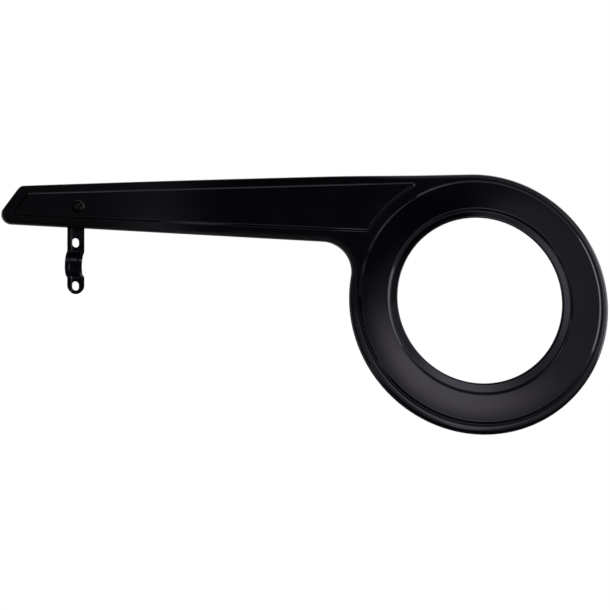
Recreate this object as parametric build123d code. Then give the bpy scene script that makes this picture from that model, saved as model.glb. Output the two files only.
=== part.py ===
from build123d import *
import math
import os

os.makedirs("parts", exist_ok=True)

# Frame: origin at the centre of the crank opening's wall, X forward, Z up, outer face toward minus Y, millimetres

# Sheet and relief of the guard shell
SHEET = 0.8
BAND_DISH = 0.8
BASE_DROP = 1.2
ROLL_R = 5.0
LIP = 0.4
STEP_SLOPE = 58.0
# Leg of the short bevel that softens the steps, and the share of the roll's inner radius that the bevel inside takes
STEP_BEVEL = 0.5
INNER_BEVEL = 0.7

# Ring
HOLE_R = 63.7
RIM_R = 100.0
RIM_DROP = 1.5
FACE_DROP = 0.9
BAND_W = 7.7
BORDER_W = 7.7
FACE_RISE_OUT = 1.5
FACE_LIFT = 1.1
FACE_CROWN = 0.4

# Arm outline
TOP_ANGLE = 4.35
REAR_TOP_X = -353.6
ARM_REAR_H = 29.3
REAR_SLOPE = 54.3
REAR_CORNER_R = 7.5
BOTTOM_FALL = 0.4
NECK_R = 22.0

# Raised arm panel
PANEL_RISE = 1.3
PANEL_TOP_GAP = 6.7
PANEL_LOW_GAP = 5.7
PANEL_REAR_GAP = 7.2
PANEL_RING_GAP = 7.9
PANEL_LOW_TILT = 0.2
PANEL_CORNER_R = 3.2

# Bracket, heights from the arm's bottom edge
BRACKET_IN = 43.6
STRAP_W = 13.0
STRAP_T = 1.4
CHANNEL_W = 6.6
CHANNEL_D = 0.7
CHANNEL_UP = 0.9
SADDLE_R = 8.75
SADDLE_BEND_R = 2.4
SADDLE_DROP = 27.4
SLOT_SPACING = 33.1
SLOT_W = 5.2
SLOT_L = 7.1
STRAP_END_GAP = 2.6
EDGE_CLEAR = 0.2
JOG_ANGLE = 45.0
JOG_OUT_R = 2.4
JOG_IN_R = 1.0
JOG_UP = 9.0

# Screw and nut
SCREW_UP = 15.4
SCREW_R = 2.5
SCREW_CLEAR = 0.25
THREAD_CLEAR = 0.05
HEAD_R = 4.75
HEAD_H = 3.2
HEAD_WALL = 1.4
HEAD_FLAT_R = 3.0
RECESS_L = 5.4
RECESS_W = 1.3
RECESS_D = 1.9
NUT_AF = 8.0
NUT_H = 4.0
NUT_BEVEL = 30.0
SCREW_STANDOUT = 1.3
TIP_BEVEL = 0.6

# How far raised forms run down into the base, and how far cutters run past the metal
SINK = 0.6
PASS = 6.0

# Values that follow from the ones above
BAND_Y = -SHEET / 2
BASE_Y = BAND_Y + BASE_DROP
EDGE_Y = BASE_Y + ROLL_R + LIP
PANEL_Y = BASE_Y - PANEL_RISE
TAB_Y = PANEL_Y + SHEET
STRAP_Y = EDGE_Y + EDGE_CLEAR
CLEAR_R = SCREW_R + SCREW_CLEAR
FACE_IN_R = HOLE_R + BAND_W
FACE_OUT_R = RIM_R - BORDER_W
TOP_RISE = math.tan(math.radians(TOP_ANGLE))
FALL = math.tan(math.radians(BOTTOM_FALL))
RIM_TOP_X = -math.sin(math.radians(TOP_ANGLE)) * RIM_R
RIM_TOP_Z = math.cos(math.radians(TOP_ANGLE)) * RIM_R - RIM_DROP
REAR_TOP_Z = RIM_TOP_Z + TOP_RISE * (REAR_TOP_X - RIM_TOP_X)
REAR_LOW_Z = REAR_TOP_Z - ARM_REAR_H
BOTTOM_Z = REAR_LOW_Z + FALL * REAR_TOP_X
BRACKET_X = REAR_TOP_X + BRACKET_IN
ARM_LOW_Z = BOTTOM_Z - FALL * BRACKET_X
SCREW_Z = ARM_LOW_Z + SCREW_UP
SADDLE_Z = ARM_LOW_Z - SADDLE_DROP
JOG_TOP_Z = ARM_LOW_Z + JOG_UP
CHANNEL_TOP_Z = ARM_LOW_Z + CHANNEL_UP


def plane_at(y):
    """The upright plane at depth y, its own x along X, its own y along Z, its normal toward minus Y."""
    return Plane(origin=(0, y, 0), x_dir=(1, 0, 0), z_dir=(0, -1, 0))


def step_foot(rise):
    """Plan width of a drafted step of this rise."""
    return rise / math.tan(math.radians(STEP_SLOPE))


def line_meets_ring(height, rise, radius, drop):
    """Rear crossing of the line z = height + rise * x with a circle whose centre lies this far below the origin."""
    lift = height + drop
    square = 1 + rise * rise
    half = lift * rise
    x = (-half - math.sqrt(half * half - square * (lift * lift - radius * radius))) / square
    return Vector(x, height + rise * x)


def outline():
    """The guard's outline in the upright plane: ring, arm whose top edge leaves the rim smoothly, cut-back rear end."""
    slope = math.tan(math.radians(REAR_SLOPE))
    top = Vector(RIM_TOP_X, RIM_TOP_Z)
    rear = Vector(REAR_TOP_X, REAR_TOP_Z)
    low_x = (BOTTOM_Z - REAR_TOP_Z + slope * REAR_TOP_X) / (slope + FALL)
    low = Vector(low_x, BOTTOM_Z - FALL * low_x)
    neck = line_meets_ring(BOTTOM_Z, -FALL, RIM_R, RIM_DROP)
    edges = [
        Line(top, rear),
        Line(rear, low),
        Line(low, neck),
        ThreePointArc(neck, Vector(RIM_R, -RIM_DROP), top),
    ]
    face = Sketch() + make_face(edges)
    face = fillet(face.vertices().sort_by_distance((low.X, low.Y))[0], REAR_CORNER_R)
    return fillet(face.vertices().sort_by_distance((neck.X, neck.Y))[0], NECK_R)


def panel_outline():
    """The foot of the raised arm panel: straight sides, a rear end along the cut-back end, a front arc round the ring."""
    slope = math.tan(math.radians(REAR_SLOPE))
    tilt = math.tan(math.radians(PANEL_LOW_TILT))
    rear_x = REAR_TOP_X + PANEL_REAR_GAP / math.sin(math.radians(REAR_SLOPE))
    arc_r = FACE_OUT_R + PANEL_RING_GAP
    top_z = REAR_TOP_Z - PANEL_TOP_GAP - TOP_RISE * REAR_TOP_X
    low_z = REAR_LOW_Z + PANEL_LOW_GAP - tilt * REAR_TOP_X

    def rear_end(height, grade):
        """Where the line z = height + grade * x meets the panel's rear end."""
        x = (height - REAR_TOP_Z + slope * rear_x) / (slope - grade)
        return Vector(x, height + grade * x)

    top_rear = rear_end(top_z, TOP_RISE)
    low_rear = rear_end(low_z, tilt)
    top_front = line_meets_ring(top_z, TOP_RISE, arc_r, FACE_DROP)
    low_front = line_meets_ring(low_z, tilt, arc_r, FACE_DROP)
    middle = Vector(-math.sqrt(0.5), math.sqrt(0.5)) * arc_r + Vector(0, -FACE_DROP)
    edges = [
        Line(top_rear, low_rear),
        Line(low_rear, low_front),
        ThreePointArc(low_front, middle, top_front),
        Line(top_front, top_rear),
    ]
    face = Sketch() + make_face(edges)
    return fillet(face.vertices(), PANEL_CORNER_R)


def ring_boss(back, tuck):
    """The raised ring face with its two drafted steps and the dished band, back is how far behind the outer skin."""
    inner_y = BASE_Y - FACE_RISE_OUT - FACE_LIFT
    outer_y = BASE_Y - FACE_RISE_OUT
    valley_y = BAND_Y + BAND_DISH
    valley_r = FACE_IN_R - step_foot(valley_y - inner_y)
    foot_r = FACE_OUT_R + step_foot(FACE_RISE_OUT + SINK)
    core_r = HOLE_R - PASS
    core_y = BAND_Y - PASS * BAND_DISH / (valley_r - HOLE_R)
    deep = (BASE_Y + EDGE_Y) / 2
    chord = Vector(FACE_OUT_R - FACE_IN_R, outer_y - inner_y)
    crown = Vector(chord.Y, -chord.X).normalized() * FACE_CROWN
    core = Vector(core_r, core_y + back)
    valley = Vector(valley_r + tuck, valley_y + back)
    inner = Vector(FACE_IN_R + tuck, inner_y + back)
    outer = Vector(FACE_OUT_R - tuck, outer_y + back)
    foot = Vector(foot_r - tuck, BASE_Y + SINK + back)
    edges = [
        Line(core, valley),
        Line(valley, inner),
        Line(inner, outer) if back else ThreePointArc(inner, (inner + outer) / 2 + crown, outer),
        Line(outer, foot),
        Line(foot, Vector(foot.X, deep)),
        Line(Vector(foot.X, deep), Vector(core_r, deep)),
        Line(Vector(core_r, deep), core),
    ]
    face = Sketch() + make_face(edges)
    if not back:
        for corner in (inner, outer):
            face = chamfer(face.vertices().sort_by_distance(corner)[0], STEP_BEVEL)
    return Pos(0, 0, -FACE_DROP) * revolve(face, Axis.Y, 360)


def skin(back):
    """The solid behind the outer skin moved in by this much. The inner skin's edges are plainer."""
    tuck = back * math.tan(math.radians(STEP_SLOPE / 2))
    flat = outline()
    deep = EDGE_Y
    if back:
        flat = offset(flat, amount=-back, kind=Kind.INTERSECTION)
        deep = EDGE_Y + PASS
    level = BASE_Y + back
    base = extrude(plane_at(deep) * flat, amount=deep - level)
    rim = base.faces().sort_by(Axis.Y)[0].edges()
    foot = offset(panel_outline(), amount=step_foot(SINK) - tuck, kind=Kind.INTERSECTION)
    panel = extrude(plane_at(level + SINK) * foot, amount=PANEL_RISE + SINK, taper=90 - STEP_SLOPE)
    if back:
        base = chamfer(rim, INNER_BEVEL * (ROLL_R - back))
    else:
        base = fillet(rim, ROLL_R)
        panel = chamfer(panel.faces().sort_by(Axis.Y)[0].edges(), STEP_BEVEL)
    return base + panel + ring_boss(back, tuck)


def rod(radius, y0, y1, x=0.0, z=0.0):
    """A plain round bar along Y from y0 to y1."""
    return extrude(plane_at(y1) * Pos(x, z) * Circle(radius), amount=y1 - y0)


def guard_shell():
    """One sheet: the outer skin less the same skin moved in by the sheet thickness, then the two holes."""
    shell = skin(0.0) - skin(SHEET)
    shell -= rod(HOLE_R, -PASS, EDGE_Y)
    return shell - rod(CLEAR_R, -PASS, EDGE_Y, BRACKET_X, SCREW_Z)


def strap_run(parts, start, away):
    """Edges of a bent strap's side, walked downward from start, away to the back of the front skin."""
    heading = math.radians(-90)
    at = Vector(*start) + Vector(away, 0)
    edges = []
    for kind, size, turn in parts:
        go = Vector(math.cos(heading), math.sin(heading))
        if kind == "line":
            to = at + go * size
            edges.append(Line(at, to))
        else:
            side = 1 if turn > 0 else -1
            radius = size - side * away
            left = Vector(-go.Y, go.X) * side
            centre = at + left * radius
            swing = math.radians(turn)

            def spun(angle):
                out = (at - centre)
                c = math.cos(angle)
                s = math.sin(angle)
                return centre + Vector(out.X * c - out.Y * s, out.X * s + out.Y * c)

            to = spun(swing)
            edges.append(ThreePointArc(at, spun(swing / 2), to))
            heading += swing
        at = to
    return edges


def strap_solid(parts, start, front, back, width):
    """The strap between two depths behind its front skin, as wide as stated."""
    near = strap_run(parts, start, front)
    far = strap_run(parts, start, back)
    ends = [
        Line(near[0] @ 0, far[0] @ 0),
        Line(near[-1] @ 1, far[-1] @ 1),
    ]
    face = make_face(near + far + ends)
    side = Plane(origin=(BRACKET_X - width / 2, 0, 0), x_dir=(0, 1, 0), z_dir=(1, 0, 0))
    return extrude(side * face, amount=width)


def stay_bracket():
    """The stamped strap: tab, jog, channelled straight part, half-round saddle, round ends, hole and slots."""
    reach = math.sqrt(SADDLE_R ** 2 + 2 * SADDLE_R * SADDLE_BEND_R)
    turn = math.degrees(math.atan2(reach, SADDLE_BEND_R))
    low_slot = SADDLE_Z - SLOT_SPACING / 2
    tip_z = low_slot - SLOT_L / 2 - STRAP_END_GAP
    tab_z = SCREW_Z + STRAP_W / 2
    jog = STRAP_Y - TAB_Y
    slant = math.radians(JOG_ANGLE)
    bends = (JOG_OUT_R + JOG_IN_R) * (1 - math.cos(slant))
    slope_run = (jog - bends) / math.sin(slant)
    jog_low = JOG_TOP_Z - (JOG_OUT_R + JOG_IN_R) * math.sin(slant) - slope_run * math.cos(slant)
    saddle = [
        ("arc", SADDLE_BEND_R, turn),
        ("arc", SADDLE_R, -2 * turn),
        ("arc", SADDLE_BEND_R, turn),
        ("line", SADDLE_Z - reach - tip_z, 0),
    ]
    upper = [
        ("line", tab_z - JOG_TOP_Z, 0),
        ("arc", JOG_OUT_R, JOG_ANGLE),
        ("line", slope_run, 0),
        ("arc", JOG_IN_R, -JOG_ANGLE),
    ]
    whole = upper + [("line", jog_low - SADDLE_Z - reach, 0)] + saddle
    sunk = [("line", CHANNEL_TOP_Z - SADDLE_Z - reach, 0)] + saddle
    top = (TAB_Y, tab_z)
    low = (STRAP_Y, CHANNEL_TOP_Z)
    strap = strap_solid(whole, top, 0, STRAP_T, STRAP_W)
    strap += strap_solid(sunk, low, CHANNEL_D, STRAP_T + CHANNEL_D, CHANNEL_W)
    strap -= strap_solid(sunk, low, 0, CHANNEL_D, CHANNEL_W)
    deep = STRAP_Y + SADDLE_R + STRAP_T + CHANNEL_D + PASS
    tall = tab_z - tip_z
    blank = Pos(BRACKET_X, (tab_z + tip_z) / 2) * SlotOverall(tall, STRAP_W, rotation=90)
    strap = strap & extrude(plane_at(deep) * blank, amount=deep + PASS)
    for z in (low_slot, low_slot + SLOT_SPACING):
        slot = Pos(BRACKET_X, z) * SlotOverall(SLOT_L, SLOT_W, rotation=90)
        strap -= extrude(plane_at(deep) * slot, amount=deep + PASS)
    return strap - rod(CLEAR_R, -PASS, STRAP_Y, BRACKET_X, SCREW_Z)


def bracket_screw():
    """Pan head screw: flat crown, sloped shoulder and short upright wall, plain shank, crossed recess."""
    tip_y = TAB_Y + STRAP_T + NUT_H + SCREW_STANDOUT
    crown_y = PANEL_Y - HEAD_H
    turned = [
        (0, crown_y),
        (HEAD_FLAT_R, crown_y),
        (HEAD_R, PANEL_Y - HEAD_WALL),
        (HEAD_R, PANEL_Y),
        (SCREW_R, PANEL_Y),
        (SCREW_R, tip_y - TIP_BEVEL),
        (SCREW_R - TIP_BEVEL, tip_y),
        (0, tip_y),
    ]
    body = revolve(make_face(Polyline(*turned, close=True)), Axis.Y, 360)
    cross = Rectangle(RECESS_L, RECESS_W) + Rectangle(RECESS_W, RECESS_L)
    body -= extrude(plane_at(crown_y + RECESS_D) * cross, amount=RECESS_D + PASS)
    return Pos(BRACKET_X, 0, SCREW_Z) * body


def bracket_nut():
    """Hexagon nut with the far rim of the hexagon turned off at an angle."""
    near = TAB_Y + STRAP_T
    far = near + NUT_H
    fall = NUT_AF / 2 * math.tan(math.radians(NUT_BEVEL))
    nut = extrude(plane_at(far) * RegularPolygon(NUT_AF / math.sqrt(3), 6), amount=NUT_H)
    turned = [
        (0, near),
        (NUT_AF, near),
        (NUT_AF, far - fall),
        (NUT_AF / 2, far),
        (0, far),
    ]
    nut = nut & revolve(make_face(Polyline(*turned, close=True)), Axis.Y, 360)
    nut -= rod(SCREW_R + THREAD_CLEAR, -PASS, far + PASS)
    return Pos(BRACKET_X, 0, SCREW_Z) * nut


PIECES = {
    "guard_shell": guard_shell,
    "stay_bracket": stay_bracket,
    "bracket_screw": bracket_screw,
    "bracket_nut": bracket_nut,
}
for name, make in PIECES.items():
    piece = make()
    print(name, piece.is_valid, len(piece.solids()), round(piece.volume, 1))
    export_step(piece, "parts/" + name + ".step")
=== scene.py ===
import math

import bmesh
import bpy
import numpy as np
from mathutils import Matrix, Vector
from mathutils.geometry import delaunay_2d_cdt


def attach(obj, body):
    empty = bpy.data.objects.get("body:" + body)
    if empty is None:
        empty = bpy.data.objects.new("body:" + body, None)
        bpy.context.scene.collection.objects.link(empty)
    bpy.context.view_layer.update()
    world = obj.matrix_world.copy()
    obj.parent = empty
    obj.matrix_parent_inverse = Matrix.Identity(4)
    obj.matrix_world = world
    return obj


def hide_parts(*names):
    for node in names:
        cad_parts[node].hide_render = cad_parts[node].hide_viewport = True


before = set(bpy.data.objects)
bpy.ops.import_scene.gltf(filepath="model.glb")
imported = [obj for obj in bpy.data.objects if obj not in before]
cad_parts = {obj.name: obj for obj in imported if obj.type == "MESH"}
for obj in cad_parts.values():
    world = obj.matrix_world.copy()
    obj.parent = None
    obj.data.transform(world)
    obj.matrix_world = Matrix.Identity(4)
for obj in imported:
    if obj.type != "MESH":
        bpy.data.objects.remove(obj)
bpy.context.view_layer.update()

# Shapes are worked out in millimetres and become metres in the mesh
MM = 0.001
BODY = "root"

# Sheet of the guard shell, with depths counted backwards from the front
SHEET = 0.8
BASE_Y = 0.8
EDGE_Y = 6.2
EDGE_ROUND = 0.2
STEP_ROUND = 0.9

# Rolled border, tighter along the arm, with the heights and the places between which it widens to the ring's
ROLL_R = 5.0
ARM_ROLL_R = 1.6
ROLL_Z_FROM = 30.0
ROLL_Z_TO = 0.0
ROLL_X_FROM = -110.0
ROLL_X_TO = -40.0
ROLL_POINTS = 17

# Ring: its rim, the raised dished face between two steps, and the sunk band with a lip round the opening
RIM_R = 100.0
RIM_DROP = 1.5
FACE_DROP = 0.9
FACE_IN_R = 71.8
FACE_OUT_R = 92.0
FACE_FOOT_R = 93.7
FACE_RISE = 1.7
FACE_LIFT = 1.55
FACE_DISH = 0.25
FACE_POINTS = 21
FACE_SHIFT = -0.4
VALLEY_SHIFT = 0.05
INNER_SLOPE = math.radians(42.0)
OUTER_ROUND = 0.35
HOLE_R = 63.55
HOLE_AT = np.array([-0.51, 0.18])
BAND_Y = -2.0
BAND_DISH = 1.5
LIP_ROUND = 1.3
LIP_DEPTH = 1.8
RING_POINTS = 360

# Arm
TOP_ANGLE = 3.85
REAR_TOP = np.array([-353.6, 71.89])
REAR_ANGLE = 54.3
REAR_TOP_ROUND = 5.3
REAR_LOW_ROUND = 7.5
BOTTOM_Z = 40.12
BOTTOM_FALL = 0.4
NECK_R = 22.0

# Raised arm panel
PANEL_RISE = 1.3
PANEL_SLOPE = math.radians(45.0)
PANEL_TOP_GAP = 5.9
PANEL_LOW_GAP = 5.7
PANEL_REAR_GAP = 7.2
PANEL_ARC_R = 100.2
PANEL_TOP_ANGLE = 4.35
PANEL_LOW_TILT = 0.2
PANEL_CORNER = 3.2
PANEL_TIP_ROUND = 2.0
PANEL_FOOT_ROUND = 0.55

# Bracket
BRACKET_X = -310.0
STRAP_W = 13.0
STRAP_T = 1.4
STRAP_ROUND = 0.25
CHANNEL_W = 6.6
CHANNEL_D = 0.7
CHANNEL_WALL = 1.0
CHANNEL_TOP_Z = 43.19
TAB_Y = 0.3
STRAP_Y = 6.4
JOG_TOP_Z = 51.29
JOG_ANGLE = 45.0
JOG_OUT_R = 2.4
JOG_IN_R = 1.0
SADDLE_R = 8.75
SADDLE_BEND_R = 2.4
SADDLE_Z = 14.887
SLOT_SPACING = 33.1
SLOT_W = 5.2
SLOT_L = 7.1
STRAP_END_GAP = 2.6

# The strap's blank: which length of its course is the straight part, and the spacing of its inner points
STRAIGHT = 4
BLANK_PITCH = 0.7
BLANK_CLEAR = 0.4
BLANK_RAILS = 14
WALL_RAILS = 9

# Screw
SCREW_Z = 57.687
SCREW_R = 2.5
SCREW_STANDOUT = 1.3
CLEAR_R = 2.75
CLEAR_FLAT = 0.6
SHELL_HOLE_POINTS = 64
TAB_HOLE_POINTS = 48
HEAD_R = 4.75
HEAD_H = 3.2
HEAD_WALL = 1.55
HEAD_ROUND = 1.0
SEAT_ROUND = 0.2
CROWN_R = 3.8
CROWN_DOME = 0.5225
CROWN_GRID = 97
RECESS_L = 5.4
RECESS_W = 1.3
RECESS_D = 1.5
RECESS_SOFT = 0.16
RECESS_TAPER = 0.35
THREAD_PITCH = 0.8
THREAD_D = 0.45
THREAD_FROM = 0.2
THREAD_FULL = 1.2
THREAD_ROWS = 90
TIP_BEVEL = 0.6

# Nut
NUT_AF = 8.0
NUT_H = 4.0
NUT_SIDES = 6
NUT_CORNER = 2.0
NUT_CONE = 60.0
NUT_CONE_H = 0.85
NUT_WALL_END = 0.9
NUT_CONE_CUT = 0.02
NUT_SEAT_H = 0.08
NUT_SEAT_CUT = 0.12
NUT_BORE_GAP = 0.05
NUT_BORE_BEVEL = 0.35
NUT_SHARP = 28.0
NUT_CORNER_POINTS = 5
NUT_SIDE_POINTS = 15
NUT_WALL_ROWS = 6
NUT_CONE_ROWS = 18

# Width of the flat strip beside each rounded stretch, which keeps the flats' shading flat
GUARD = 0.15

# Meshing: an arc of a longer radius gets a set count of points, and what is smaller than the rest is dropped
LONG_R = 1000.0
LONG_POINTS = 60
TWIN_GAP = 0.004
SLIVER = 0.01
TINY = 1e-12
FILL_GAP = 1e-7
WELD_DIGITS = 5
FLAT_EDGE = 1e-8

# Camera, in metres and degrees: a long lens, a little below and to the left of square on
CAMERA_AZIMUTH = -12.9
CAMERA_ELEVATION = -12.0
CAMERA_DISTANCE = 20.0
CAMERA_TARGET = np.array([-0.1353, 0.0, -0.00957])
CAMERA_NEAR = 0.1
CAMERA_FAR = 120.0
FRAME_WIDTH = 0.4580
SENSOR_WIDTH = 36.0

# Stage, in metres, and its plain light level
STAGE_CENTRE = np.array([-0.134, 0.0, 0.02])
FLOOR_Z = -5.0
FLOOR_REACH = 20.0
SCREEN_R = 3.0
SCREEN_GRID = (88, 56)
CARD_GRID = 40
AMBIENT = 0.8


def aim(angle):
    """Unit vectors at these angles, in degrees, in the upright plane."""
    turn = np.radians(angle)
    return np.stack([np.cos(turn), np.sin(turn)], axis=-1)


def full_circle(count):
    """Unit vectors evenly round a circle."""
    return aim(np.linspace(0, 360, count, endpoint=False))


def angle_of(vector):
    """Angle of a plane vector in degrees."""
    return math.degrees(math.atan2(vector[1], vector[0]))


def turned(vector, turn):
    """A plane vector turned by these angles, in radians."""
    c = np.cos(turn)
    s = np.sin(turn)
    return np.stack([vector[0] * c - vector[1] * s, vector[0] * s + vector[1] * c], axis=-1)


def ease(value, low, high):
    """Smooth change from 0 to 1 between two values."""
    share = np.clip((value - low) / (high - low), 0, 1)
    return share * share * (3 - 2 * share)


def line_through(angle, point, inward=0.0):
    """A straight side as its outward normal's angle and its distance from the origin, moved inward."""
    return angle, float(aim(angle) @ np.asarray(point)) - inward


def crossing(one, two):
    """The point that lies on both straight sides."""
    normals = np.stack([aim(one[0]), aim(two[0])])
    return np.linalg.solve(normals, np.array([one[1], two[1]]))


def on_circle(side, centre, radius):
    """The rear one of the two points where a straight side meets a circle."""
    normal = aim(side[0])
    along = np.array([-normal[1], normal[0]])
    foot = centre + normal * (side[1] - normal @ centre)
    half = math.sqrt(radius ** 2 - (side[1] - normal @ centre) ** 2)
    ends = np.stack([foot + along * half, foot - along * half])
    return ends[np.argmin(ends[:, 0])]


def trace(arcs, step=3.0, pitch=6.0, near=0.4):
    """A closed path through arcs joined by their common tangents.

    Each arc is a centre, a radius and the angles its outward normal runs between: a point is the centre plus
    radius times the normal, so a negative radius makes the arc hollow. Straight stretches get points a pitch
    apart and one close to each end, and a point that repeats the next is dropped. Returns the points and
    their outward normals.
    """
    points = []
    angles = []
    for index, (centre, radius, start, end) in enumerate(arcs):
        count = max(3, math.ceil(abs(end - start) / step) + 1)
        if abs(radius) > LONG_R:
            count = LONG_POINTS
        turn = np.linspace(start, end, count)
        points.append(np.asarray(centre) + radius * aim(turn))
        angles.append(turn)
        after = arcs[(index + 1) % len(arcs)]
        goal = np.asarray(after[0]) + after[1] * aim(after[2])
        reach = goal - points[-1][-1]
        length = float(np.hypot(*reach))
        if length > 4 * near:
            share = np.linspace(near, length - near, max(2, math.ceil(length / pitch))) / length
            points.append(points[-1][-1] + share[:, None] * reach)
            angles.append(np.full(len(share), end))
    points = np.concatenate(points)
    gap = np.roll(points, -1, axis=0) - points
    apart = np.hypot(gap[:, 0], gap[:, 1]) > TWIN_GAP
    return points[apart], aim(np.concatenate(angles))[apart]


def soften(corners, radii, step=8.0):
    """A bent line with each corner replaced by an arc of its radius, tangent to both sides."""
    corners = np.asarray(corners, dtype=float)
    out = [corners[:1]]
    for before, corner, after, radius in zip(corners[:-2], corners[1:-1], corners[2:], radii):
        if radius == 0:
            out.append(corner[None])
            continue
        back = (before - corner) / np.hypot(*(before - corner))
        on = (after - corner) / np.hypot(*(after - corner))
        half = math.acos(float(np.clip(back @ on, -1, 1))) / 2
        middle = (back + on) / np.hypot(*(back + on))
        centre = corner + middle * radius / math.sin(half)
        start = corner + back * radius / math.tan(half) - centre
        sweep = math.pi - 2 * half
        sign = 1.0 if back[0] * on[1] - back[1] * on[0] < 0 else -1.0
        turn = sign * np.linspace(0, sweep, max(2, math.ceil(math.degrees(sweep) / step)) + 1)
        out.append(centre + turned(start, turn))
    out.append(corners[-1:])
    return np.concatenate(out)


def parallel(line, distance):
    """The line moved sideways to its right by a distance, each point along the middle of its two normals."""
    steps = np.diff(line, axis=0)
    steps /= np.hypot(steps[:, 0], steps[:, 1])[:, None]
    before = np.concatenate([steps[:1], steps])
    after = np.concatenate([steps, steps[-1:]])
    mean = before + after
    mean /= np.hypot(mean[:, 0], mean[:, 1])[:, None]
    stretch = 1 / np.einsum("ij,ij->i", mean, after)
    return line + distance * stretch[:, None] * np.stack([mean[:, 1], -mean[:, 0]], axis=1)


def grid_faces(rows, columns, close_rows=False, close_columns=False):
    """Quads of a grid of points, with its rows or columns joined into rings if asked."""
    r = np.arange(rows if close_rows else rows - 1)
    c = np.arange(columns if close_columns else columns - 1)
    r, c = np.meshgrid(r, c, indexing="ij")
    r2 = (r + 1) % rows
    c2 = (c + 1) % columns
    quads = np.stack([r * columns + c, r2 * columns + c, r2 * columns + c2, r * columns + c2], axis=-1)
    return quads.reshape(-1, 4)


def reached(start, away, reach, depth):
    """A grid of points: start plus direction times reach in the upright plane, each at its depth.

    Rows are directions and columns are reaches.
    """
    flat = start + away[:, None, :] * reach[..., None]
    return np.stack([flat[..., 0], np.broadcast_to(depth, flat.shape[:2]), flat[..., 1]], axis=-1)


def ring_of(points):
    """A grid of points whose rows close into a ring, as a patch of points and quads."""
    return points.reshape(-1, 3), grid_faces(*points.shape[:2], close_rows=True)


def carry(path, normals, profile):
    """A profile of reach and depth carried round a closed path, along the path's normals, as a patch."""
    return ring_of(reached(path[:, None, :], normals, profile[:, 0], profile[:, 1]))


def raised(flat, depth):
    """Plane points put at a depth."""
    return np.stack([flat[:, 0], np.full(len(flat), depth), flat[:, 1]], axis=1)


def inside(points, loop):
    """Which points lie inside a closed loop: a ray to the right crosses it an odd number of times."""
    a = loop
    b = np.roll(loop, -1, axis=0)
    px = points[:, 0][:, None]
    pz = points[:, 1][:, None]
    spans = (a[None, :, 1] > pz) != (b[None, :, 1] > pz)
    rise = np.where(b[:, 1] == a[:, 1], TINY, b[:, 1] - a[:, 1])
    at = a[None, :, 0] + (pz - a[None, :, 1]) * ((b[:, 0] - a[:, 0]) / rise)[None, :]
    return (np.sum(spans & (px < at), axis=1) % 2) == 1


def connected(triangles, fences):
    """A number for each triangle, the same for all that can be reached without crossing a fence.

    Triangles that share an unfenced side take the lower of their numbers, over and over, until none changes.
    """
    sides = np.concatenate([triangles[:, [0, 1]], triangles[:, [1, 2]], triangles[:, [2, 0]]])
    sides = np.sort(sides, axis=1)
    owner = np.tile(np.arange(len(triangles)), 3)
    span = int(triangles.max()) + 1
    key = sides[:, 0] * span + sides[:, 1]
    fence = np.sort(fences, axis=1)
    free = ~np.isin(key, fence[:, 0] * span + fence[:, 1])
    order = np.argsort(key[free], kind="stable")
    key = key[free][order]
    owner = owner[free][order]
    pair = np.nonzero(key[1:] == key[:-1])[0]
    one = owner[pair]
    two = owner[pair + 1]
    label = np.arange(len(triangles))
    while True:
        least = np.minimum(label[one], label[two])
        fresh = label.copy()
        np.minimum.at(fresh, one, least)
        np.minimum.at(fresh, two, least)
        fresh = fresh[fresh]
        if np.array_equal(fresh, label):
            return label
        label = fresh


def fill(outer, holes, extra=None):
    """Triangles that cover the plane inside the outer loop and outside the holes, and use the extra points.

    Every loop is a fence; the regions between fences are kept or dropped whole, and slivers are dropped.
    """
    loops = [outer, *holes]
    points = np.concatenate(loops + ([] if extra is None else [extra]))
    edges = []
    first = 0
    for loop in loops:
        index = np.arange(first, first + len(loop))
        edges.append(np.stack([index, np.roll(index, -1)], axis=1))
        first += len(loop)
    edges = np.concatenate(edges).tolist()
    made = delaunay_2d_cdt([Vector(p) for p in points.tolist()], edges, [], 0, FILL_GAP)
    spots = np.array([points[old[0]] if old else spot[:] for spot, old in zip(made[0], made[3])])
    triangles = np.array(made[2])
    fences = np.array([edge for edge, old in zip(made[1], made[4]) if old])
    label = connected(triangles, fences)
    a, b, c = (spots[triangles[:, i]] for i in range(3))
    area = np.abs((b - a)[:, 0] * (c - a)[:, 1] - (b - a)[:, 1] * (c - a)[:, 0]) / 2
    keep = np.zeros(len(triangles), dtype=bool)
    for region in np.unique(label):
        members = np.nonzero(label == region)[0]
        middle = spots[triangles[members[np.argmax(area[members])]]].mean(axis=0)[None]
        within = inside(middle, outer)[0] and not any(inside(middle, hole)[0] for hole in holes)
        keep[members] = within and area[members].sum() > SLIVER
    return spots, triangles[keep]


def put_in(name, data):
    """A new object in the scene for a mesh, a lamp or a camera."""
    thing = bpy.data.objects.new(name, data)
    bpy.context.scene.collection.objects.link(thing)
    return thing


def make_piece(name, patches, node, material):
    """Joins patches of points and faces into one closed smooth mesh that stands for a CAD node.

    Points that agree to the last kept digit become one, and the faces are turned outwards.
    """
    points = np.concatenate([spots for spots, corners in patches])
    unique, index = np.unique(np.round(points, WELD_DIGITS), axis=0, return_inverse=True)
    index = index.reshape(-1)
    faces = []
    first = 0
    for spots, corners in patches:
        faces += index[np.asarray(corners) + first].tolist()
        first += len(spots)
    mesh = bpy.data.meshes.new(name)
    mesh.from_pydata((unique * MM).tolist(), [], faces)
    mesh.validate()
    shape = bmesh.new()
    shape.from_mesh(mesh)
    bmesh.ops.dissolve_degenerate(shape, dist=FLAT_EDGE, edges=shape.edges)
    bmesh.ops.recalc_face_normals(shape, faces=shape.faces)
    shape.to_mesh(mesh)
    shape.free()
    mesh.polygons.foreach_set("use_smooth", np.ones(len(mesh.polygons), dtype=bool))
    mesh.materials.append(material)
    piece = put_in(name, mesh)
    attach(piece, BODY)
    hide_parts(node)
    return piece


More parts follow.
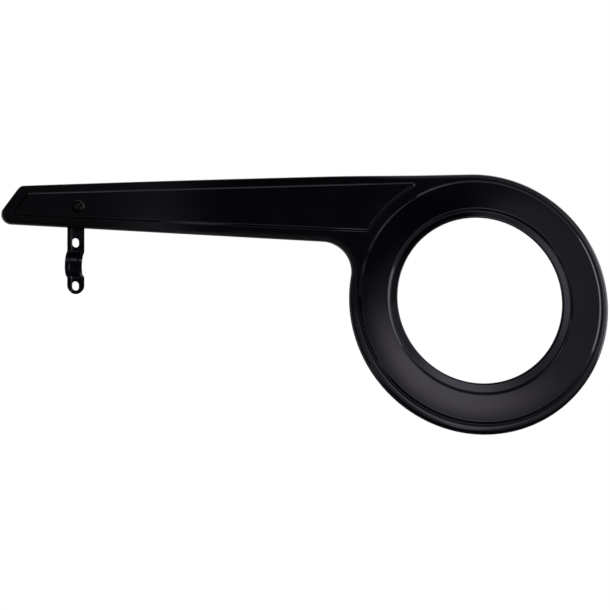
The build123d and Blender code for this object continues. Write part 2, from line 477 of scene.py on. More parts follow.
def outline_path():
    """The flat's border, one roll radius inside the outline: ring, bowed top, cut-back rear end and neck.

    The bow leaves the ring along its tangent and passes through the rear top corner, which gives its radius:
    the chord over twice the sine of the angle between chord and tangent.
    """
    ring = np.array([0.0, -RIM_DROP])
    rear_top = line_through(90 + REAR_ANGLE, REAR_TOP)
    bottom = line_through(270 - BOTTOM_FALL, (0.0, BOTTOM_Z))
    span = ring + aim(90 + TOP_ANGLE) * RIM_R - REAR_TOP
    chord = angle_of(span)
    bow_r = np.hypot(*span) / (2 * math.sin(math.radians(chord - TOP_ANGLE)))
    top_end = 90 + 2 * chord - TOP_ANGLE
    top = line_through(top_end, REAR_TOP)
    neck = on_circle((bottom[0], bottom[1] + NECK_R), ring, RIM_R + NECK_R)
    neck_angle = angle_of(neck - ring)
    high = crossing((top[0], top[1] - REAR_TOP_ROUND), (rear_top[0], rear_top[1] - REAR_TOP_ROUND))
    low = crossing((rear_top[0], rear_top[1] - REAR_LOW_ROUND), (bottom[0], bottom[1] - REAR_LOW_ROUND))
    bow = ring + aim(90 + TOP_ANGLE) * (RIM_R - bow_r)
    cut = math.degrees(REAR_TOP_ROUND * math.tan(math.radians((rear_top[0] - top_end) / 2)) / bow_r)
    arcs = [
        (ring, RIM_R - ROLL_R, neck_angle, 450 + TOP_ANGLE),
        (bow, bow_r - ROLL_R, 90 + TOP_ANGLE, top_end - cut),
        (high, REAR_TOP_ROUND - ROLL_R, top_end, rear_top[0]),
        (low, REAR_LOW_ROUND - ROLL_R, rear_top[0], bottom[0]),
        (neck, -NECK_R - ROLL_R, bottom[0], neck_angle),
    ]
    return trace(arcs, step=1.5)


def panel_path():
    """The foot of the raised panel: straight sides, a cut-back rear end and a hollow arc round the ring."""
    ring = np.array([0.0, -FACE_DROP])
    top = line_through(90 + PANEL_TOP_ANGLE, REAR_TOP - np.array([0.0, PANEL_TOP_GAP]))
    rear = line_through(90 + REAR_ANGLE, REAR_TOP, PANEL_REAR_GAP)
    rear_low_z = BOTTOM_Z - math.tan(math.radians(BOTTOM_FALL)) * REAR_TOP[0]
    low = line_through(270 + PANEL_LOW_TILT, (REAR_TOP[0], rear_low_z + PANEL_LOW_GAP))
    inset = [(side[0], side[1] - PANEL_CORNER) for side in (top, rear, low)]
    top_rear = crossing(inset[0], inset[1])
    low_rear = crossing(inset[1], inset[2])
    low_front = on_circle(inset[2], ring, PANEL_ARC_R + PANEL_CORNER)
    top_front = on_circle((top[0], top[1] - PANEL_TIP_ROUND), ring, PANEL_ARC_R + PANEL_TIP_ROUND)
    low_turn = angle_of(ring - low_front) % 360
    top_turn = angle_of(ring - top_front) % 360
    arcs = [
        (top_rear, PANEL_CORNER, top[0], rear[0]),
        (low_rear, PANEL_CORNER, rear[0], low[0]),
        (low_front, PANEL_CORNER, low[0], low_turn),
        (ring, -PANEL_ARC_R, low_turn, top_turn),
        (top_front, PANEL_TIP_ROUND, top_turn, 360 + top[0]),
    ]
    return trace(arcs, step=2.0)


def roll_radius(border):
    """The roll's radius along the border: full round the ring, tighter on the arm, with a smooth change."""
    lower = ease(-border[:, 1], -ROLL_Z_FROM, -ROLL_Z_TO)
    forward = ease(border[:, 0], ROLL_X_FROM, ROLL_X_TO)
    return ARM_ROLL_R + (ROLL_R - ARM_ROLL_R) * np.maximum(lower, forward)


def roll_patch(border, normals):
    """The rolled border: at each point a flat, a quarter round of the local radius, a lip, and back inside.

    Reach from the border is the full radius less the local one times one less the sine of the turn, and
    depth is the local radius times one less the cosine.
    """
    turn = np.linspace(0, math.pi / 2, ROLL_POINTS)
    local = roll_radius(border)[:, None]
    reach = ROLL_R - local * (1 - np.sin(turn))
    depth = BASE_Y + local * (1 - np.cos(turn))
    inner = local - SHEET
    inner_reach = ROLL_R - SHEET - inner * (1 - np.sin(turn[::-1]))
    inner_depth = BASE_Y + SHEET + inner * (1 - np.cos(turn[::-1]))
    lip = [
        (ROLL_R, BASE_Y + ROLL_R),
        (ROLL_R, EDGE_Y),
        (ROLL_R - SHEET, EDGE_Y),
        (ROLL_R - SHEET, BASE_Y + ROLL_R),
    ]
    edge = np.tile(soften(lip, [EDGE_ROUND, EDGE_ROUND], step=15)[1:-1], (len(border), 1, 1))
    start = np.full((len(border), 1), -GUARD)
    flat = np.full((len(border), 1), BASE_Y)
    out = np.concatenate([start, reach, edge[..., 0], inner_reach, start], axis=1)
    back = np.concatenate([flat, depth, edge[..., 1], inner_depth, flat + SHEET], axis=1)
    return ring_of(reached(border[:, None, :], normals, out, back))


def panel_profile():
    """Section of the panel's drafted step, outer side and inner side, as reach from the foot and depth."""
    run = PANEL_RISE / math.tan(PANEL_SLOPE)
    half = math.tan(PANEL_SLOPE / 2)
    corners = [
        (PANEL_FOOT_ROUND * half + GUARD, BASE_Y),
        (0.0, BASE_Y),
        (-run, BASE_Y - PANEL_RISE),
        (-run - STEP_ROUND * half - GUARD, BASE_Y - PANEL_RISE),
    ]
    front = soften(corners, [PANEL_FOOT_ROUND, STEP_ROUND], step=7)
    return front, parallel(front, SHEET)


def ring_section():
    """Section of the ring from the border flat to the hole and back along the inside, as radius and depth.

    The face runs straight from step to step and is sunk between them by a parabola.
    """
    outer_y = BASE_Y - FACE_RISE
    inner_y = outer_y - FACE_LIFT
    valley_y = BAND_Y + BAND_DISH
    valley_r = FACE_IN_R - (valley_y - inner_y) / math.tan(INNER_SLOPE)
    tangent = OUTER_ROUND * math.tan(math.atan2(FACE_RISE, FACE_FOOT_R - FACE_OUT_R) / 2)
    share = np.linspace(0, 1, FACE_POINTS)[1:-1]
    face = np.stack([
        FACE_OUT_R + share * (FACE_IN_R - FACE_OUT_R),
        outer_y + share * (inner_y - outer_y) + 4 * FACE_DISH * share * (1 - share),
    ], axis=1)
    corners = [(FACE_FOOT_R + tangent + GUARD, BASE_Y), (FACE_FOOT_R, BASE_Y), (FACE_OUT_R, outer_y)]
    corners += face.tolist() + [(FACE_IN_R, inner_y), (valley_r, valley_y)]
    corners += [(HOLE_R, BAND_Y), (HOLE_R, BAND_Y + LIP_DEPTH)]
    radii = [OUTER_ROUND, OUTER_ROUND] + [0] * len(face) + [STEP_ROUND, STEP_ROUND, LIP_ROUND]
    front = soften(corners, radii, step=6)
    back = parallel(front, SHEET)
    around = np.concatenate([front[-2:], back[::-1][:2]])
    edge = soften(around, [EDGE_ROUND, EDGE_ROUND], step=15)
    return np.concatenate([front[:-1], edge[1:-1], back[::-1][1:]]), valley_r


def ring_patch():
    """The ring's section turned through a full circle about a centre that moves with the radius.

    The centre is the hole's at the hole, the face's at the outer step, and a little to the side at the two
    ends of the inner step. Returns the patch and its outer loop.
    """
    section, valley_r = ring_section()
    stations = [HOLE_R, valley_r, FACE_IN_R, FACE_OUT_R]
    across = np.interp(section[:, 0], stations, [HOLE_AT[0], VALLEY_SHIFT, FACE_SHIFT, 0.0])
    upward = np.interp(section[:, 0], stations, [HOLE_AT[1], -FACE_DROP, -FACE_DROP, -FACE_DROP])
    centre = np.stack([across, upward], axis=1)
    points = reached(centre[None], full_circle(RING_POINTS), section[:, 0], section[:, 1])
    return ring_of(points), points[:, 0, ::2]


def guard_shell(material):
    """The pressed sheet: rolled border, drafted steps and turned ring, with the flats between them filled."""
    border, border_normals = outline_path()
    foot, foot_normals = panel_path()
    step_front, step_back = panel_profile()
    ring, ring_loop = ring_patch()
    border_loop = border - border_normals * GUARD
    foot_loop = foot + foot_normals * step_front[0, 0]
    top_loop = foot + foot_normals * step_front[-1, 0]
    panel_y = BASE_Y - PANEL_RISE
    hole_corners = [
        (CLEAR_R + CLEAR_FLAT, panel_y),
        (CLEAR_R, panel_y),
        (CLEAR_R, panel_y + SHEET),
        (CLEAR_R + CLEAR_FLAT, panel_y + SHEET),
    ]
    hole_profile = soften(hole_corners, [EDGE_ROUND, EDGE_ROUND], step=15)
    around = full_circle(SHELL_HOLE_POINTS)
    centre = np.array([BRACKET_X, SCREW_Z])
    hole_loop = centre + around * hole_profile[0, 0]
    base_points, base_faces = fill(border_loop, [foot_loop, ring_loop])
    top_points, top_faces = fill(top_loop, [hole_loop])
    patches = [
        roll_patch(border, border_normals),
        carry(foot, foot_normals, step_front),
        carry(foot, foot_normals, step_back),
        ring,
        carry(np.broadcast_to(centre, around.shape), around, hole_profile),
        (raised(base_points, BASE_Y), base_faces),
        (raised(base_points, BASE_Y + SHEET), base_faces),
        (raised(top_points, panel_y), top_faces),
        (raised(top_points, panel_y + SHEET), top_faces),
    ]
    return make_piece("pressed_shell", patches, "guard_shell", material)


def strap_course():
    """The strap's front line from its top end down, as rows of straight length, bend radius and turn."""
    turn = math.degrees(math.acos(SADDLE_BEND_R / (SADDLE_R + SADDLE_BEND_R)))
    reach = (SADDLE_R + SADDLE_BEND_R) * math.sin(math.radians(turn))
    tab_z = SCREW_Z + STRAP_W / 2
    tip_z = SADDLE_Z - SLOT_SPACING / 2 - SLOT_L / 2 - STRAP_END_GAP
    slant = math.radians(JOG_ANGLE)
    bends = (JOG_OUT_R + JOG_IN_R) * (1 - math.cos(slant))
    slope_run = (STRAP_Y - TAB_Y - bends) / math.sin(slant)
    jog_low = JOG_TOP_Z - (JOG_OUT_R + JOG_IN_R) * math.sin(slant) - slope_run * math.cos(slant)
    return tab_z, tip_z, [
        (tab_z - JOG_TOP_Z, 0.0, 0.0),
        (0.0, JOG_OUT_R, JOG_ANGLE),
        (slope_run, 0.0, 0.0),
        (0.0, JOG_IN_R, -JOG_ANGLE),
        (jog_low - SADDLE_Z - reach, 0.0, 0.0),
        (0.0, SADDLE_BEND_R, turn),
        (0.0, SADDLE_R, -2 * turn),
        (0.0, SADDLE_BEND_R, turn),
        (SADDLE_Z - reach - tip_z, 0.0, 0.0),
    ]


def strap_bend(course, start):
    """A function that bends the flat blank: distance along and depth become depth and height.

    Along a straight length a point moves with the heading, along a bend it turns about the bend's centre.
    """
    heading = -math.pi / 2
    at = np.array(start, dtype=float)
    begun = 0.0
    table = []
    for length, radius, turn in course:
        swing = math.radians(turn)
        table.append((begun, at.copy(), heading, radius, swing))
        go = np.array([math.cos(heading), math.sin(heading)])
        left = np.array([-go[1], go[0]]) * (1 if turn > 0 else -1)
        if radius == 0:
            at = at + go * length
            begun += length
        else:
            centre = at + left * radius
            at = centre + turned(at - centre, swing)
            begun += radius * abs(swing)
        heading += swing

    def bend(along, depth):
        """Depth and height of points at these distances along the blank and depths behind its front."""
        out = np.zeros(along.shape + (2,))
        last = len(table) - 1
        for index, (first, origin, facing, radius, swing) in enumerate(table):
            after = table[index + 1][0] if index < last else np.inf
            here = (along >= (first if index else -np.inf)) & (along < after)
            local = along[here] - first
            swept = np.zeros_like(local) if radius == 0 else np.sign(swing) * local / radius
            go = np.stack([np.cos(facing + swept), np.sin(facing + swept)], axis=-1)
            behind = np.stack([-go[:, 1], go[:, 0]], axis=-1)
            if radius == 0:
                front = origin + go * local[:, None]
            else:
                side = np.sign(swing) * radius
                centre = origin + np.array([-math.sin(facing), math.cos(facing)]) * side
                front = centre - side * behind
            out[here] = front + depth[here][:, None] * behind
        return out

    return bend, table, begun


def racetrack(middle, overall, width):
    """A closed path with two straight sides and two round ends, lying along the strap."""
    half = (overall - width) / 2
    arcs = [
        ((middle + half, 0.0), width / 2, -90.0, 90.0),
        ((middle - half, 0.0), width / 2, 90.0, 270.0),
    ]
    return trace(arcs, step=6.0, pitch=BLANK_PITCH, near=0.2)


def blank_grid(length, rims):
    """Inner points of the strap's blank: even along it, closer across the channel's walls, clear of rims."""
    wall = np.linspace(CHANNEL_W / 2 - CHANNEL_WALL, CHANNEL_W / 2 + CHANNEL_WALL, WALL_RAILS)
    rail = np.concatenate([np.linspace(-STRAP_W / 2, STRAP_W / 2, BLANK_RAILS), wall, -wall])
    marks = np.arange(BLANK_PITCH / 2, length, BLANK_PITCH)
    along, across = np.meshgrid(marks, rail, indexing="ij")
    points = np.stack([along.ravel(), across.ravel()], axis=1)
    clear = inside(points, rims[0])
    for rim in rims:
        gap = points[:, None, :] - rim[None, :, :]
        clear &= np.min(np.einsum("ijk,ijk->ij", gap, gap), axis=1) > BLANK_CLEAR ** 2
    for rim in rims[1:]:
        clear &= ~inside(points, rim)
    return points[clear]


def stay_bracket(material):
    """The strap: a flat blank with round ends, a hole and two slots, sunk along its middle and then bent."""
    tab_z, tip_z, course = strap_course()
    bend, table, length = strap_bend(course, (TAB_Y, tab_z))
    straight_from, straight_start = table[STRAIGHT][:2]
    low_slot = SADDLE_Z - SLOT_SPACING / 2
    high_slot_at = straight_from + (straight_start[1] - low_slot - SLOT_SPACING)
    low_slot_at = length - (low_slot - tip_z)
    channel_at = straight_from + (straight_start[1] - CHANNEL_TOP_Z)

    def formed(flat, depth):
        """Points of the blank, sunk where the channel runs and bent to shape, in line with the screw."""
        along = flat[:, 0]
        across = flat[:, 1]
        wall = CHANNEL_WALL / 2
        groove = 1 - ease(np.abs(across), CHANNEL_W / 2 - wall, CHANNEL_W / 2 + wall)
        sunk = CHANNEL_D * groove * ease(along, channel_at, channel_at + 2 * CHANNEL_WALL)
        placed = bend(along, depth + sunk)
        return np.stack([BRACKET_X + across, placed[:, 0], placed[:, 1]], axis=1)

    around = full_circle(TAB_HOLE_POINTS)
    cuts = [racetrack(at, SLOT_L, SLOT_W) for at in (low_slot_at, high_slot_at)]
    cuts.append((np.array([STRAP_W / 2, 0.0]) + around * CLEAR_R, around))
    loops = [racetrack(length / 2, length, STRAP_W)] + [(path, -out) for path, out in cuts]
    corners = [
        (-STRAP_ROUND - GUARD, 0.0),
        (0.0, 0.0),
        (0.0, STRAP_T),
        (-STRAP_ROUND - GUARD, STRAP_T),
    ]
    edge = soften(corners, [STRAP_ROUND, STRAP_ROUND], step=18)
    patches = []
    for path, out in loops:
        flat = path[:, None, :] + out[:, None, :] * edge[None, :, :1]
        depth = np.tile(edge[:, 1], len(path))
        faces = grid_faces(len(path), len(edge), close_rows=True)
        patches.append((formed(flat.reshape(-1, 2), depth), faces))
    rims = [path + out * edge[0, 0] for path, out in loops]
    points, faces = fill(rims[0], rims[1:], blank_grid(length, rims))
    for depth in (0.0, STRAP_T):
        patches.append((formed(points, np.full(len(points), depth)), faces))
    return make_piece("strap_bracket", patches, "stay_bracket", material)


def disc_square(count):
    """Points of a square grid pushed out onto a disc of radius one, their quads, and the rim's order.

    Each coordinate is multiplied by the root of one less half the other's square.
    """
    side = np.linspace(-1, 1, count)
    u, v = np.meshgrid(side, side, indexing="ij")
    x = u * np.sqrt(1 - v * v / 2)
    z = v * np.sqrt(1 - u * u / 2)
    rim = np.concatenate([
        np.arange(count) * count,
        (count - 1) * count + np.arange(1, count),
        np.arange(count - 2, -1, -1) * count + count - 1,
        np.arange(count - 2, 0, -1),
    ])
    return np.stack([x.ravel(), z.ravel()], axis=1), grid_faces(count, count), rim


def crown_depth(flat):
    """Depth of the crown below its top: a shallow dome, and inside a cross a recess that tapers outwards."""
    radius = np.hypot(flat[:, 0], flat[:, 1])
    size = np.abs(flat)
    cross = np.minimum(
        np.maximum(size[:, 0] - RECESS_W / 2, size[:, 1] - RECESS_L / 2),
        np.maximum(size[:, 1] - RECESS_W / 2, size[:, 0] - RECESS_L / 2),
    )
    dome = CROWN_DOME * (radius / CROWN_R) ** 2
    recess = RECESS_D * (1 - RECESS_TAPER * np.clip(radius / (RECESS_L / 2), 0, 1))
    return dome + recess * (1 - ease(cross, -RECESS_SOFT, RECESS_SOFT))


def shank_radius(along, turn, seat_y, tip_y):
    """The shank's radius, less a groove that climbs one pitch in a turn, and bevelled at the tip."""
    phase = (along[None, :] / THREAD_PITCH + turn[:, None] / (2 * np.pi)) % 1.0
    begun = ease(along, seat_y + THREAD_FROM, seat_y + THREAD_FULL)
    cut = THREAD_D * (0.5 - np.abs(phase - 0.5)) * 2 * begun[None, :]
    bevel = np.clip(along - (tip_y - TIP_BEVEL), 0, None)
    return np.minimum(SCREW_R - cut, SCREW_R - bevel[None, :])


def bracket_screw(material):
    """Pan head screw: a domed crown with a crossed recess, a turned wall round it, and a threaded shank."""
    centre = np.array([BRACKET_X, SCREW_Z])
    seat_y = BASE_Y - PANEL_RISE
    tip_y = TAB_Y + STRAP_T + NUT_H + SCREW_STANDOUT
    crown_y = seat_y - HEAD_H
    disc, disc_faces, rim = disc_square(CROWN_GRID)
    flat = disc * CROWN_R
    crown = np.stack([centre[0] + flat[:, 0], crown_y + crown_depth(flat), centre[1] + flat[:, 1]], axis=1)
    away = (crown[rim][:, [0, 2]] - centre) / CROWN_R
    side = [
        (CROWN_R, crown_y + CROWN_DOME),
        (HEAD_R, seat_y - HEAD_WALL),
        (HEAD_R, seat_y),
        (SCREW_R, seat_y),
    ]
    section = soften(side, [HEAD_ROUND, SEAT_ROUND], step=12)
    wall = reached(centre, away, section[:, 0], section[:, 1])
    wall[:, 0, 1] = crown[rim, 1]
    along = np.linspace(seat_y, tip_y, THREAD_ROWS)
    turn = np.arctan2(away[:, 1], away[:, 0])
    shank = reached(centre, away, shank_radius(along, turn, seat_y, tip_y), along)
    rows = len(rim)
    tip = np.array([[centre[0], tip_y, centre[1]]])
    fan = np.stack([np.arange(rows), (np.arange(rows) + 1) % rows, np.full(rows, rows)], axis=1)
    patches = [
        (crown, disc_faces),
        ring_of(wall),
        ring_of(shank),
        (np.concatenate([shank[:, -1, :], tip]), fan),
    ]
    return make_piece("pan_screw", patches, "bracket_screw", material)


def bracket_nut(material):
    """Hexagon nut: the hexagon's radius, held in by a cone at the far rim and a cut at the bearing face."""
    centre = np.array([BRACKET_X, SCREW_Z])
    near = TAB_Y + STRAP_T
    far = near + NUT_H
    half = 180 / NUT_SIDES
    corner = np.linspace(-half, NUT_CORNER - half, NUT_CORNER_POINTS)
    middle = np.linspace(2 * NUT_CORNER - half, half - 2 * NUT_CORNER, NUT_SIDE_POINTS)
    sector = np.concatenate([corner, middle, -corner[:0:-1]])
    away = aim((np.arange(NUT_SIDES)[:, None] * 2 * half + sector[None, :]).ravel())
    hexagon = NUT_AF / 2 / np.cos(np.radians(np.tile(sector, NUT_SIDES)))
    wall = np.linspace(near + NUT_SEAT_H, far - NUT_WALL_END, NUT_WALL_ROWS)
    heights = np.concatenate([[near], wall, np.linspace(far - NUT_CONE_H, far, NUT_CONE_ROWS)])
    rim = NUT_AF / 2 + (far - heights) * math.tan(math.radians(NUT_CONE)) - NUT_CONE_CUT
    rim[0] = NUT_AF / math.sqrt(3) - NUT_SEAT_CUT
    outer = reached(centre, away, np.minimum(hexagon[:, None], rim[None, :]), heights)
    bore = SCREW_R + NUT_BORE_GAP
    wide = bore + NUT_BORE_BEVEL
    inner_r = np.array([wide, bore, bore, wide])
    inner_y = np.array([far, far - NUT_BORE_BEVEL, near + NUT_BORE_BEVEL, near])
    whole = np.concatenate([outer, reached(centre, away, inner_r, inner_y)], axis=1)
    faces = grid_faces(*whole.shape[:2], close_rows=True, close_columns=True)
    piece = make_piece("hex_nut", [(whole.reshape(-1, 3), faces)], "bracket_nut", material)
    piece.data.set_sharp_from_angle(angle=math.radians(NUT_SHARP))
    return piece


def put(socket, value):
    """Links an output to an input, or sets the input's own value."""
    if isinstance(value, bpy.types.NodeSocket):
        socket.id_data.links.new(value, socket)
    else:
        socket.default_value = value


def node_adder(tree):
    """Clears a node tree and gives a helper that adds nodes to it with their inputs put in."""
    tree.nodes.clear()

    def add(kind, **inputs):
        """A new node of this kind, where an underscore in an input's name stands for a space."""
        node = tree.nodes.new(kind)
        for key, value in inputs.items():
            put(node.inputs[key.replace("_", " ")], value)
        return node

    return add


def new_material(name):
    """An empty node material and the helper that adds its nodes."""
    material = bpy.data.materials.new(name)
    material.use_nodes = True
    return material, node_adder(material.node_tree)


def noise(add, place, scale, detail):
    """Noise over the piece's own coordinates, cycles in each metre as its scale."""
    return add("ShaderNodeTexNoise", Vector=place, Scale=scale, Detail=detail).outputs["Fac"]


def spread(add, value, old, new):
    """A value taken from an old range to a new one and held there."""
    ends = {"From_Min": old[0], "From_Max": old[1], "To_Min": new[0], "To_Max": new[1]}
    return add("ShaderNodeMapRange", Value=value, **ends).outputs["Result"]


def mixed(add, factor, one, two, blend="MIX"):
    """Two colours mixed by a factor."""
    node = add("ShaderNodeMix")
    node.data_type = "RGBA"
    node.blend_type = blend
    put(node.inputs[0], factor)
    put(node.inputs[6], one)
    put(node.inputs[7], two)
    return node.outputs[2]


def black_paint(name, dark, light, smooth, dull):
    """Gloss black paint on pressed sheet: fine peel, soft sheet waves, patchy gloss and a little dust."""
    material, add = new_material(name)
    place = add("ShaderNodeTexCoord").outputs["Object"]
    peel = noise(add, place, scale=700.0, detail=2.0)
    waves = noise(add, place, scale=16.0, detail=1.0)
    patches = noise(add, place, scale=45.0, detail=4.0)
    specks = spread(add, noise(add, place, scale=2600.0, detail=1.0), (0.70, 0.80), (0.0, 1.0))
    paint = mixed(add, patches, (*dark, 1), (*light, 1))
    dust = mixed(add, specks, (0.0, 0.0, 0.0, 1), (0.008, 0.008, 0.009, 1))
    sheet = add("ShaderNodeBump", Height=waves, Strength=1.0, Distance=0.00006).outputs["Normal"]
    surface = add("ShaderNodeBump", Height=peel, Strength=1.0, Distance=0.000003, Normal=sheet)
    shader = add(
        "ShaderNodeBsdfPrincipled",
        Base_Color=mixed(add, 1.0, paint, dust, "ADD"),
        Roughness=spread(add, patches, (0.3, 0.7), (smooth, dull)),
        Specular_IOR_Level=0.8,
        Specular_Tint=(0.9, 0.83, 1.0, 1),
        Normal=surface.outputs["Normal"],
    )
    add("ShaderNodeOutputMaterial", Surface=shader.outputs["BSDF"])
    return material


def black_steel(name, dark, light, smooth, dull):
    """Black finished steel: a fine grain and a satin gloss that varies over the piece."""
    material, add = new_material(name)
    place = add("ShaderNodeTexCoord").outputs["Object"]
    grain = noise(add, place, scale=1500.0, detail=3.0)
    patches = noise(add, place, scale=300.0, detail=3.0)
    surface = add("ShaderNodeBump", Height=grain, Strength=1.0, Distance=0.000002)
    shader = add(
        "ShaderNodeBsdfPrincipled",
        Base_Color=mixed(add, patches, (*dark, 1), (*light, 1)),
        Roughness=spread(add, grain, (0.3, 0.7), (smooth, dull)),
        Normal=surface.outputs["Normal"],
    )
    add("ShaderNodeOutputMaterial", Surface=shader.outputs["BSDF"])
    return material


def matt_glow(name, shade, strength):
    """A matt grey that gives off white light, as strong as the output that a function adds to its nodes."""
    material, add = new_material(name)
    shader = add(
        "ShaderNodeBsdfPrincipled",
        Base_Color=(shade, shade, shade, 1),
        Roughness=0.9,
        Specular_IOR_Level=0.0,
        Emission_Color=(1, 1, 1, 1),
        Emission_Strength=strength(add),
    )
    add("ShaderNodeOutputMaterial", Surface=shader.outputs["BSDF"])
    return material


def seen_white(add):
    """One for what the camera sees, straight, mirrored or through glass, and nothing for other rays."""
    path = add("ShaderNodeLightPath").outputs
    white = path["Is Camera Ray"]
    for ray in ("Is Glossy Ray", "Is Transmission Ray"):
        either = add("ShaderNodeMath")
        either.operation = "MAXIMUM"
        put(either.inputs[0], white)
        put(either.inputs[1], path[ray])
        white = either.outputs[0]
    return white


def own_glow(add):
    """The brightness kept at each point of a cloth."""
    node = add("ShaderNodeAttribute")
    node.attribute_name = "glow"
    return node.outputs["Fac"]


def dimmed(share, value, low, high):
    """A factor that falls from 1 by a share while a value passes from low to high."""
    return 1 - share * ease(value, low, high)


def front_glow(azimuth, elevation):
    """Brightness of the front cloth: dark straight ahead and above, pale below, grey to the left and right.

    Right and up are counted from the direction that a flat facing square on mirrors to the camera.
    """
    right = azimuth + CAMERA_AZIMUTH
    up = elevation + CAMERA_ELEVATION
    # Pale lower half for the ring's face, weaker to both sides and towards the floor
    low = ease(0.4 * np.maximum(-right, 0) - 1.35 * up, 2.5, 15.5)
    low = low * dimmed(0.75, -azimuth, -3.0, 8.0) * dimmed(0.75, azimuth, 10.0, 25.0)
    low = low * dimmed(0.35, -elevation, 10.0, 60.0) * dimmed(0.97, -elevation, 55.0, 67.0)
    low = low * (1 - 0.8 * ease(azimuth, 36.0, 56.0) * ease(-elevation, 20.0, 50.0))
    low = low * dimmed(0.8, azimuth, 60.0, 85.0)
    # Even grey at the right, with a paler window for the rim
    side = 0.2 * ease(right, 0.0, 6.0) * ease(elevation, -30.0, -5.0)
    window = ease(azimuth, 30.0, 42.0) * dimmed(1, azimuth, 56.0, 68.0)
    window = window * ease(elevation, -8.0, 8.0) * dimmed(1, elevation, 32.0, 46.0)
    # Darker grey at the left
    left = 0.18 * ease(-right, 8.0, 20.0) * dimmed(1, up, 2.0, 12.0)
    left = left * dimmed(0.7, -azimuth, 50.0, 90.0) * dimmed(0.9, -elevation, 48.0, 62.0)
    # Grey overhead, and a dark pit at lower left for the outer step's dark line
    top = 0.3 * ease(elevation, 60.0, 84.0)
    pit = 1 - 0.85 * ease(-azimuth, 30.0, 45.0) * ease(-elevation, 30.0, 42.0)
    return 0.008 + np.max([low * pit, side + 0.75 * window, left * pit, top], axis=0)


def back_glow(azimuth, elevation):
    """Brightness of the back cloth: dark below, grey above, paler to the left."""
    level = 0.03 + 0.2 * ease(elevation, -70.0, -10.0) * ease(azimuth, 135.0, 215.0)
    return level + 0.2 * ease(elevation, 5.0, 30.0)


def low_glow(x, z):
    """Brightness of the card below the arm: dark, with a grey stretch under its middle and a grey foot."""
    front = ease(x, -0.20, -0.17)
    return 0.007 + 0.133 * ease(x, -0.29, -0.25) - 0.06 * front + 0.11 * ease(-z, -0.005, 0.015) * front


def patch_glow(x, z):
    """Brightness of the card before the arm's rear half: a soft upright patch, paler towards its foot."""
    patch = np.exp(-((x + 0.174) / 0.021) ** 2) * (0.04 + 0.085 * dimmed(1, z, 0.118, 0.142))
    return 0.012 + (0.033 + patch) * dimmed(1, x, -0.150, -0.118)


def upper_glow(x, y):
    """Brightness of the card above the arm: grey, darker towards the rear end."""
    return 0.45 - 0.25 * ease(-x, 0.27, 0.35)


def rear_glow(x, z):
    """Brightness of the card behind the arm: an even dark grey."""
    return np.full(x.shape, 0.1)


def streak_glow(x, y):
    """Brightness of the card close under the arm's middle: grey, fading to both ends."""
    return 0.35 * ease(x, -0.236, -0.206) * dimmed(1, x, -0.196, -0.166)


def end_glow(y, z):
    """Brightness of the card beyond the rear end: black, dark grey towards the front."""
    return 0.01 + 0.07 * ease(-y, 0.04, 0.09)


def outward(azimuth, elevation):
    """Unit vectors towards a direction, in degrees to the right of the front and above the level."""
    a = np.radians(azimuth)
    e = np.radians(elevation)
    return np.stack([np.sin(a) * np.cos(e), -np.cos(a) * np.cos(e), np.sin(e)], axis=-1)


def cloth(name, points, glow):
    """A stage cloth through a grid of points, with its brightness at each, that the camera looks through."""
    mesh = bpy.data.meshes.new(name)
    mesh.from_pydata(points.reshape(-1, 3).tolist(), [], grid_faces(*glow.shape).tolist())
    level = mesh.attributes.new("glow", "FLOAT", "POINT")
    level.data.foreach_set("value", glow.ravel().astype(np.float32))
    mesh.materials.append(matt_glow(name, 0.02, own_glow))
    thing = put_in(name, mesh)
    thing.visible_camera = False


def screen(name, azimuths, elevations, glow):
    """Part of a sphere about the ring as a cloth, its brightness a function of direction."""
    across = np.linspace(*azimuths, SCREEN_GRID[0])
    upward = np.linspace(*elevations, SCREEN_GRID[1])
    azimuth, elevation = np.meshgrid(across, upward, indexing="ij")
    cloth(name, outward(azimuth, elevation) * SCREEN_R, glow(azimuth, elevation))


def card(name, low, high, glow):
    """A flat cloth near the arm between two corners that agree in one direction, its brightness by place."""
    low = np.array(low)
    high = np.array(high)
    one, two = [axis for axis in range(3) if low[axis] != high[axis]]
    share = np.linspace(0, 1, CARD_GRID)
    points = np.tile(low, (CARD_GRID, CARD_GRID, 1))
    points[..., one] += share[:, None] * (high - low)[one]
    points[..., two] += share[None, :] * (high - low)[two]
    cloth(name, points, glow(points[..., one], points[..., two]))


def lamp(name, azimuth, elevation, distance, width, height, power):
    """A soft rectangular lamp that faces the object from a direction."""
    light = bpy.data.lights.new(name, "AREA")
    light.shape = "RECTANGLE"
    light.size = width
    light.size_y = height
    light.energy = power
    out = Vector(outward(azimuth, elevation))
    thing = put_in(name, light)
    thing.location = Vector(STAGE_CENTRE) + out * distance
    thing.rotation_euler = (-out).to_track_quat("-Z", "Y").to_euler()


def white_world():
    """White where it is seen, and a plain ambient level for the rest."""
    world = bpy.data.worlds.new("studio")
    world.use_nodes = True
    add = node_adder(world.node_tree)
    level = add("ShaderNodeMapRange", Value=seen_white(add), To_Min=AMBIENT, To_Max=1.0)
    back = add("ShaderNodeBackground", Color=(1, 1, 1, 1), Strength=level.outputs["Result"])
    add("ShaderNodeOutputWorld", Surface=back.outputs["Background"])
    bpy.context.scene.world = world


def set_camera():
    """The camera looks at its target from its direction, with the lens that gives the frame's width there."""
    data = bpy.data.cameras.new("camera")
    data.sensor_width = SENSOR_WIDTH
    data.lens = SENSOR_WIDTH * CAMERA_DISTANCE / FRAME_WIDTH
    data.clip_start = CAMERA_NEAR
    data.clip_end = CAMERA_FAR
    back = Vector(outward(CAMERA_AZIMUTH, CAMERA_ELEVATION))
    thing = put_in("camera", data)
    thing.location = Vector(CAMERA_TARGET) + back * CAMERA_DISTANCE
    thing.rotation_mode = "QUATERNION"
    thing.rotation_quaternion = (-back).to_track_quat("-Z", "Y")
    bpy.context.scene.camera = thing


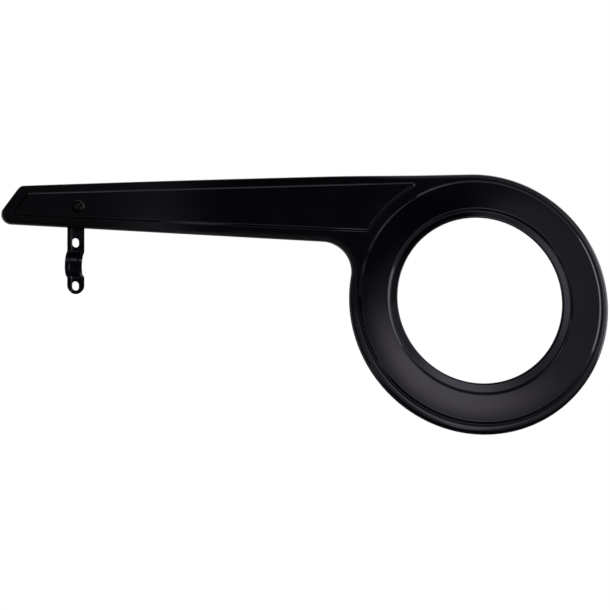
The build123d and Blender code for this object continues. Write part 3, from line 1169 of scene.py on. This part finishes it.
def set_floor():
    """A wide pale floor far below."""
    mesh = bpy.data.meshes.new("floor")
    square = FLOOR_REACH * np.array([(-1, -1), (1, -1), (1, 1), (-1, 1)])
    corners = np.concatenate([square, np.full((4, 1), FLOOR_Z)], axis=1)
    mesh.from_pydata(corners.tolist(), [], [(0, 1, 2, 3)])
    mesh.materials.append(matt_glow("pale_floor", 0.8, seen_white))
    put_in("floor", mesh)


def set_light():
    """Graded cloths all round, small cards by the arm and two soft lamps."""
    screen("front_screen", (-115, 115), (-90, 90), front_glow)
    screen("back_screen", (115, 245), (-90, 90), back_glow)
    card("low_card", (-0.42, -0.06, -0.05), (-0.096, -0.06, 0.048), low_glow)
    card("patch_card", (-0.42, -0.35, 0.06), (-0.115, -0.35, 0.22), patch_glow)
    card("top_card", (-0.42, -0.10, 0.30), (-0.05, 0.25, 0.30), upper_glow)
    card("rear_card", (-0.42, 0.25, 0.0), (-0.05, 0.25, 0.30), rear_glow)
    card("streak_card", (-0.236, -0.033, -0.03), (-0.156, -0.003, -0.03), streak_glow)
    card("end_card", (-0.46, -0.25, -0.25), (-0.46, 0.05, 0.2), end_glow)
    lamp("right_lamp", azimuth=101.5, elevation=14.0, distance=2.8, width=2.67, height=2.04, power=21.5)
    lamp("rear_lamp", azimuth=152.0, elevation=40.0, distance=2.8, width=2.6, height=1.8, power=18.0)


white_world()
set_camera()
set_floor()
set_light()

SHELL_PAINT = black_paint(
    "shell_paint",
    dark=(0.0006, 0.0006, 0.0026),
    light=(0.0010, 0.0010, 0.0036),
    smooth=0.09,
    dull=0.13,
)
STRAP_PAINT = black_paint(
    "strap_paint",
    dark=(0.012, 0.011, 0.021),
    light=(0.019, 0.017, 0.031),
    smooth=0.15,
    dull=0.21,
)
STEEL = black_steel(
    "black_steel",
    dark=(0.003, 0.003, 0.004),
    light=(0.006, 0.006, 0.007),
    smooth=0.10,
    dull=0.16,
)
guard_shell(SHELL_PAINT)
stay_bracket(STRAP_PAINT)
bracket_screw(STEEL)
bracket_nut(STEEL)

bpy.context.scene.view_settings.view_transform = "Standard"
bpy.context.view_layer.update()
